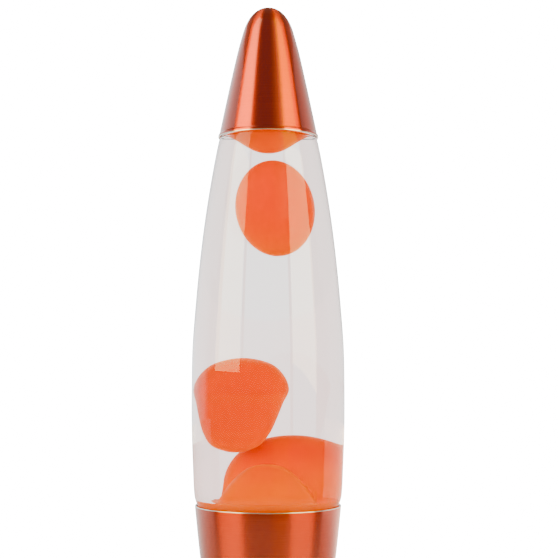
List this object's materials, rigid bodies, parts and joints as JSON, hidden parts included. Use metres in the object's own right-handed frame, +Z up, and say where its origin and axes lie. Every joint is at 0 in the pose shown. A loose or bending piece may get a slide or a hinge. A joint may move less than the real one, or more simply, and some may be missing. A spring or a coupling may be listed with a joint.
{
  "type": "lava lamp",
  "caption": "Copper-coloured lava lamp: brushed hourglass base, bullet-shaped glass bottle of clear liquid with orange wax blobs, and a tall pointed metal cap.",
  "frame": {"origin": "centre of the ring of rubber feet, on the surface the lamp stands on", "axes": "+Z up along the lamp's axis, +Y towards the back where the cord grommet is, +X to the right seen from the front"},
  "size_m": [0.11, 0.1123, 0.399],
  "materials": {
    "copper_anodised": "copper-orange anodised, brushed round the axis, bare silver at the rims",
    "zinc_steel": "zinc plated, dull",
    "black_rubber": "matt moulded",
    "glazed_ceramic": "glazed",
    "plain_brass": "bright",
    "bulb_glass": "clear front, silvered inside behind",
    "cap_aluminium": "rolled, bright",
    "black_glass": "fused black glass",
    "solder": "soft solder",
    "stem_glass": "clear lead glass",
    "lead_wire": "drawn wire",
    "tungsten": "dark drawn wire",
    "bottle_glass": "clear, fire polished",
    "crown_steel": "tinplate",
    "liner_plastic": "soft sealing compound",
    "coil_steel": "bright drawn wire",
    "orange_wax": "molten, glossy, slightly see-through"
  },
  "bodies": {
    "base": {"base_shell": "copper_anodised", "bottom_plate": "zinc_steel", "plate_screw_1": "zinc_steel", "plate_screw_2": "zinc_steel", "plate_screw_3": "zinc_steel", "foot_1": "black_rubber", "foot_2": "black_rubber", "foot_3": "black_rubber", "foot_4": "black_rubber", "cord_grommet": "black_rubber", "holder_bracket": "zinc_steel", "bracket_screw_1": "zinc_steel", "bracket_screw_2": "zinc_steel", "lampholder_body": "glazed_ceramic", "lampholder_sleeve": "plain_brass", "lampholder_contact": "plain_brass", "terminal_screw_1": "plain_brass", "terminal_screw_2": "plain_brass"},
    "bulb_tip": {"bulb_contact": "solder", "bulb_insulator": "black_glass"},
    "bulb": {"bulb_screw_cap": "cap_aluminium", "bulb_envelope": "bulb_glass", "bulb_stem": "stem_glass", "bulb_lead_1": "lead_wire", "bulb_lead_2": "lead_wire", "bulb_filament": "tungsten"},
    "bottle": {"bottle_glass": "bottle_glass", "crown_cap": "crown_steel", "crown_liner": "liner_plastic", "heating_coil": "coil_steel", "wax_pool": "orange_wax", "wax_top": "orange_wax"},
    "lower_blob": {"wax_blob_lower": "orange_wax"},
    "upper_blob": {"wax_blob_upper": "orange_wax"},
    "cap": {"cap_shell": "copper_anodised"}
  },
  "joints": [
    {"name": "bulb_rise", "type": "slide", "parent": "base", "child": "bulb_tip", "axis": [0, 0, 1], "range_m": [0, 0.009]},
    {"name": "bulb_turn", "type": "hinge", "parent": "bulb_tip", "child": "bulb", "pos_m": [0, 0, 0.05], "axis": [0, 0, 1], "range_deg": [0, 1145]},
    {"name": "bottle_lift", "type": "slide", "parent": "base", "child": "bottle", "axis": [0, 0, 1], "range_m": [0, 0.09]},
    {"name": "cap_lift", "type": "slide", "parent": "bottle", "child": "cap", "axis": [0, 0, 1], "range_m": [0, 0.08]},
    {"name": "lower_blob_drift", "type": "slide", "parent": "bottle", "child": "lower_blob", "axis": [0, 0, 1], "range_m": [0, 0.028]},
    {"name": "upper_blob_drift", "type": "slide", "parent": "bottle", "child": "upper_blob", "axis": [0, 0, 1], "range_m": [-0.018, 0]}
  ],
  "couplings": [
    {"joint": "bulb_rise", "follows": "bulb_turn", "m_per_rad": 0.00044882}
  ]
}
